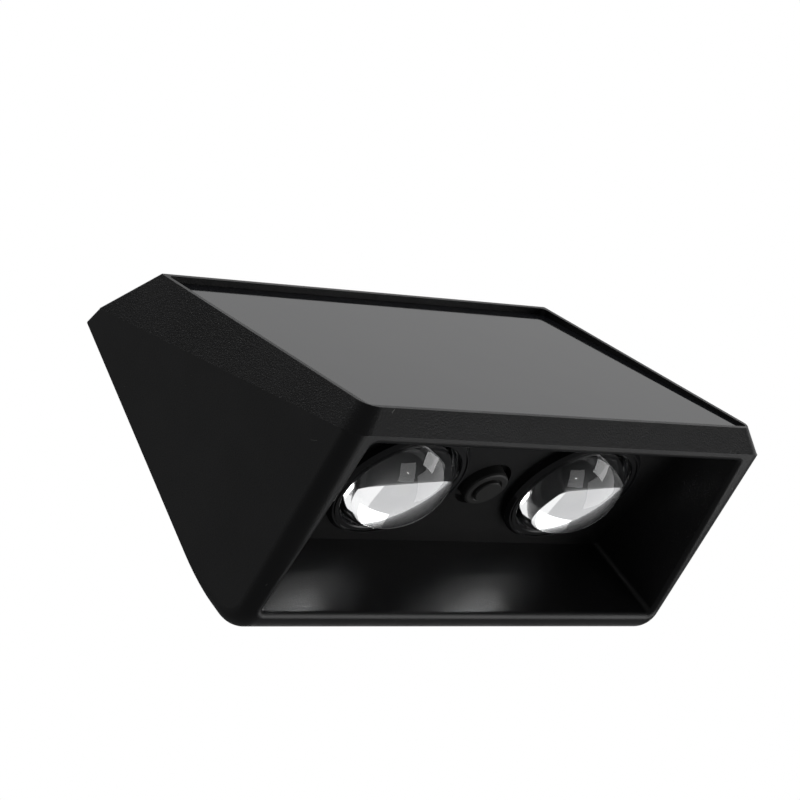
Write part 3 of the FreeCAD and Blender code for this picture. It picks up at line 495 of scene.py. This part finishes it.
def lens_profile():
    """From the tip of the dome up its outside, over the flange and down into the hollow."""
    ball = (LENS_REACH ** 2 + LENS_RISE ** 2) / (2 * LENS_RISE)
    edge = math.asin(LENS_REACH / ball)
    dome = [(ball * math.sin(edge * i / DOME_STEPS), ball - ball * math.cos(edge * i / DOME_STEPS))
            for i in range(DOME_STEPS + 1)]
    flange = LENS_RISE + LENS_BARREL
    back = flange + LENS_FLANGE
    flat = LENS_RISE + LENS_FLAT
    return dome + [(LENS_REACH, flange), (LENS_FLANGE_REACH, flange), (LENS_FLANGE_REACH, back),
                   (LENS_HOLLOW_REACH, back), (LENS_HOLLOW_REACH, flat + HOLLOW_CORNER),
                   (LENS_HOLLOW_REACH - HOLLOW_CORNER, flat), (0, flat)]


def cup_profile():
    """Plain tube that lines the hollow from just above its floor to the back of the flange."""
    outside = LENS_HOLLOW_REACH - CUP_GAP
    inside = outside - CUP_WALL
    low = LENS_RISE + LENS_FLAT + CUP_GAP
    high = LENS_RISE + LENS_BARREL + LENS_FLANGE
    return [(outside, low), (outside, high), (inside, high), (inside, low)]


def dome_tip(node, axis):
    """The lowest place of a domed node along an axis."""
    mesh = bpy.data.objects[node].data
    return min((vertex.co for vertex in mesh.vertices), key=lambda place: place.dot(axis)).copy()


black_cup = plain_with_grain("black_lens_cup", (0.012, 0.012, 0.012), (0.018, 0.018, 0.018), gloss=(0.4, 0.5))
for side in ("left", "right"):
    tip = dome_tip("lens_" + side, press)
    lens = turned_piece("clear_lens_" + side, tip, press, lens_profile(), acrylic)
    shade_round(lens)
    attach(lens, "lamp")
    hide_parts("lens_" + side)
    cup = turned_piece("lens_cup_" + side, tip, press, cup_profile(), black_cup)
    shade_round(cup)
    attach(cup, "lamp")


# ---- Light at the lenses -------------------------------------------------------------------------
# The studio's glass lights reach only the lenses and what is behind them. A small disk of light
# at each lens stands in for what the glass throws back at the housing's wall-side face.
GLOW_SIZE = 0.011
GLOW_BRIGHT = 0.5
GLOW_RISE = 0.0055           # the disk stands inside the dome, this far above its tip
GLOW_ASIDE = 0.003           # and this far to its right
GLOW_TO_WALL = Vector((-0.69, 0.59, -0.42))   # the way that it shines
glass_pieces = bpy.data.collections.new("glass_pieces")
lit_by_glass_lights = ["lens_clamp", "light_board"]
for side in ("left", "right"):
    lit_by_glass_lights += ["clear_lens_" + side, "lens_cup_" + side, "led_" + side, "led_phosphor_" + side]
for node in lit_by_glass_lights:
    glass_pieces.objects.link(bpy.data.objects[node])
for holder in glass_lights:
    holder.light_linking.receiver_collection = glass_pieces
black_walls = bpy.data.collections.new("black_walls")
black_walls.objects.link(bpy.data.objects["housing"])
for side in ("left", "right"):
    glow = light_panel("lens_glow_" + side, (0, 0, 1), distance=1, size=GLOW_SIZE, radiance=GLOW_BRIGHT)
    glow.data.shape = "DISK"
    glow.location = dome_tip("lens_" + side, press) + press * GLOW_RISE + Vector((GLOW_ASIDE, 0, 0))
    glow.rotation_euler = (-GLOW_TO_WALL).to_track_quat("Z", "Y").to_euler()
    glow.visible_transmission = False
    glow.light_linking.receiver_collection = black_walls


# ---- Lens bezels and seals -----------------------------------------------------------------------
# Turned rings of smooth glossy black ABS with a chamfer and a fine groove, pressed into the
# plate round each lens. A flat rubber ring behind the plate keeps the rain out.
bezel_abs = moulded_black("bezel_abs", (0.012, 0.012, 0.013), pits=1500.0, depth=0.000003,
                          gloss=(0.18, 0.26), dust=0.3)
for side in ("left", "right"):
    dress("lens_ring_" + side, bezel_abs)
    dress("lens_seal_" + side, silicone)


# ---- Button --------------------------------------------------------------------------------------
# Soft rubber cap that reaches through the plate, with a raised disc in its middle. It is a
# little paler and glossier than the seals. A rubber washer behind the plate wipes it.
button_rubber = rubber("button_rubber", (0.03, 0.03, 0.029), gloss=(0.42, 0.6), depth=0.00002)
dress("button_cap", button_rubber)
dress("button_gasket", silicone)


# ---- Light engine --------------------------------------------------------------------------------
# White moulded clamp that holds both lenses down, and on it the black light board with its two
# emitters: white cups with a yellow phosphor face.
white_abs = plain_with_grain("white_abs", (0.86, 0.86, 0.85), (0.8, 0.8, 0.79), gloss=(0.4, 0.5))
cup_white = plain_with_grain("emitter_cup", (0.8, 0.8, 0.79), (0.74, 0.74, 0.73), gloss=(0.3, 0.42))
phosphor = plain_with_grain("phosphor", (0.62, 0.6, 0.3), (0.7, 0.67, 0.36), gloss=(0.3, 0.4))
dress("lens_clamp", white_abs)
dress("light_board", solder_mask)
for side in ("left", "right"):
    dress("led_" + side, cup_white)
    dress("led_phosphor_" + side, phosphor)


# ---- Switch and board parts ----------------------------------------------------------------------
# Push switch with a moulded nylon body and plunger, the charging chip, the coil on its ferrite
# core, and ceramic resistors and capacitors, all of them on the light board.
nylon = plain_with_grain("black_nylon", (0.03, 0.03, 0.03), (0.045, 0.045, 0.045), gloss=(0.4, 0.55))
epoxy = plain_with_grain("chip_epoxy", (0.02, 0.02, 0.021), (0.03, 0.03, 0.032), gloss=(0.5, 0.65))
ferrite = plain_with_grain("ferrite", (0.06, 0.06, 0.065), (0.09, 0.09, 0.095), gloss=(0.45, 0.6))
ceramic = plain_with_grain("ceramic", (0.3, 0.22, 0.15), (0.4, 0.32, 0.24), gloss=(0.35, 0.5))
dress("switch_body", nylon)
dress("switch_plunger", nylon)
dress("charge_chip", epoxy)
dress("boost_coil", ferrite)
dress("small_parts", ceramic)


# ---- Battery -------------------------------------------------------------------------------------
# Steel cell in a blue shrunk sleeve, with nickel strips welded to its ends, and a block of
# foam that keeps it from rattling.
nickel = plain_with_grain("nickel_plate", (0.58, 0.56, 0.52), (0.5, 0.48, 0.45), gloss=(0.22, 0.38),
                          metallic=1.0)
shrink = plain_with_grain("shrink_sleeve", (0.03, 0.12, 0.36), (0.04, 0.15, 0.42), gloss=(0.2, 0.3))
foam = rubber("cell_foam", (0.035, 0.035, 0.037), gloss=(0.85, 0.95), depth=0.0001)
dress("battery_cell", nickel)
dress("battery_tabs", nickel)
dress("battery_sleeve", shrink)
dress("battery_pad", foam)


# ---- Screws --------------------------------------------------------------------------------------
# Zinc-plated steel: four that pull the cover on from the rear, and four small ones that hold
# the board and clamp. Their plating is slightly cloudy.
zinc = plain_with_grain("zinc_plate", (0.52, 0.52, 0.53), (0.4, 0.4, 0.42), gloss=(0.25, 0.42), metallic=1.0)
dress("cover_screws", zinc)
dress("board_screws", zinc)


# ---- Wires ---------------------------------------------------------------------------------------
# Thin wires in red and black insulation, from the panel and from the strips on the cell.
red_sleeve = plain_with_grain("red_insulation", (0.42, 0.02, 0.02), (0.5, 0.03, 0.03), gloss=(0.3, 0.4))
black_sleeve = plain_with_grain("black_insulation", (0.02, 0.02, 0.02), (0.03, 0.03, 0.03), gloss=(0.3, 0.4))
dress("panel_wire_left", red_sleeve)
dress("panel_wire_right", black_sleeve)
dress("battery_wire_left", black_sleeve)
dress("battery_wire_right", red_sleeve)
